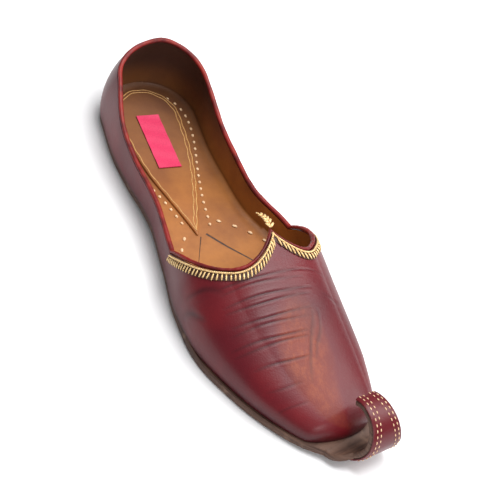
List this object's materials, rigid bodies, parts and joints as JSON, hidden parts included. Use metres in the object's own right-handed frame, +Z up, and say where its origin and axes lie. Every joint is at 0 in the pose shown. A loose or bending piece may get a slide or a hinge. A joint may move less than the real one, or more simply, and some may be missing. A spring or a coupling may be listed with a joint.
{
  "type": "mojari shoe",
  "caption": "Slip-on leather mojari shoe for the right foot, with a curled toe tongue, low side quarters, a scalloped throat edged with gold braid and a thin flat leather sole.",
  "frame": {"origin": "centre of the whole shoe's bounding box, on the floor under the sole", "axes": "+Z up, +Y toward the back of the heel, -Y toward the toe, +X toward the inner side of the right foot"},
  "size_m": [0.0992, 0.3106, 0.0606],
  "materials": {
    "sole_leather": "smooth brown leather with a cut edge, slightly worn",
    "lining_leather": "smooth tan leather, satin",
    "upper_leather": "glossy maroon leather with fine grain and soft creases",
    "label_cloth": "matte pink woven patch, bare",
    "binding_leather": "folded red leather, satin",
    "gold_thread": "metallic gold thread braid"
  },
  "bodies": {
    "root": {"outsole": "sole_leather", "insole": "lining_leather", "upper": "upper_leather", "heel_pad": "lining_leather", "label_patch": "label_cloth", "topline_binding": "binding_leather", "vamp_trim": "gold_thread", "toe_curl_cover": "upper_leather", "peak_knot": "gold_thread"}
  },
  "joints": []
}
